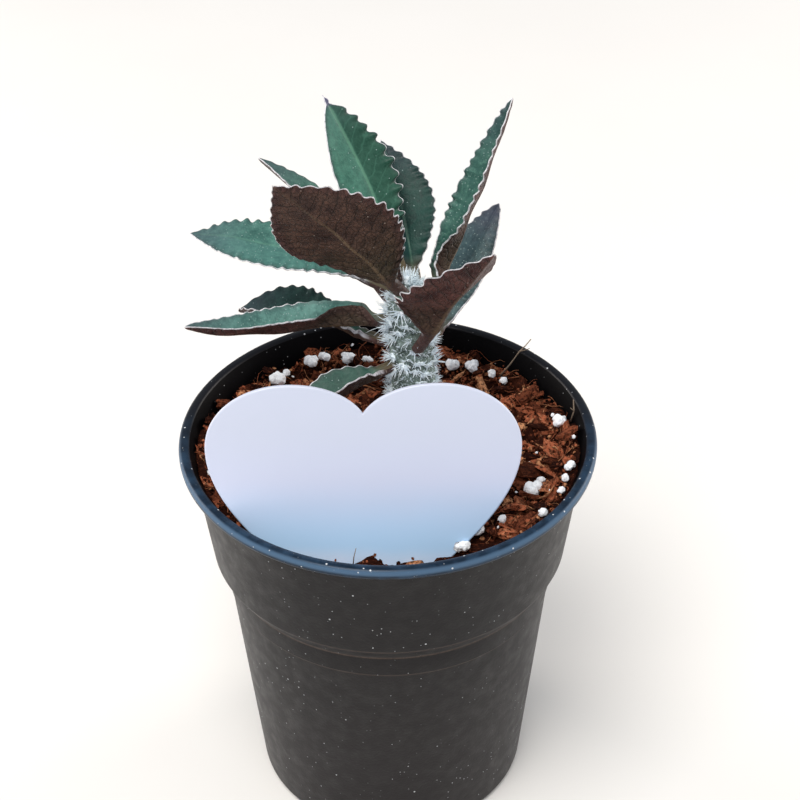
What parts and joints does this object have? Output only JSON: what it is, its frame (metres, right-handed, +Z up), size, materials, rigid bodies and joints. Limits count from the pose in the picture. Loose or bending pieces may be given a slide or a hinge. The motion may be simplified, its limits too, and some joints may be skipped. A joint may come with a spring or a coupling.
{
  "type": "potted euphorbia suzannae-marnierae",
  "caption": "Small succulent with dark crisped leaves on a short bristly stem, in a tapered nursery pot with chip compost and a bare heart-shaped label.",
  "frame": {"origin": "centre of the pot's underside, on the surface that it stands on", "axes": "+Z up the pot's axis, -Y towards the viewer of the picture and the label's front, +X to the right"},
  "size_m": [0.09, 0.09, 0.1648],
  "materials": {
    "pot": "dark charcoal, satin",
    "soil": "damp coir chips with perlite",
    "stem": "grey-green under white bristles",
    "leaf": "blue-green above, purple-brown below, pale edge",
    "label": "white, satin"
  },
  "bodies": {
    "root": {"pot": "pot", "soil": "soil", "stem": "stem", "leaf_back_tall": "leaf", "leaf_back_middle": "leaf", "leaf_right_tall": "leaf", "leaf_right_back": "leaf", "leaf_right_front": "leaf", "leaf_left_front": "leaf", "leaf_left_upper": "leaf", "leaf_left_back": "leaf", "leaf_left_lower": "leaf", "leaf_left_behind": "leaf", "leaf_left_small": "leaf", "leaf_youngest": "leaf", "label": "label"}
  },
  "joints": []
}
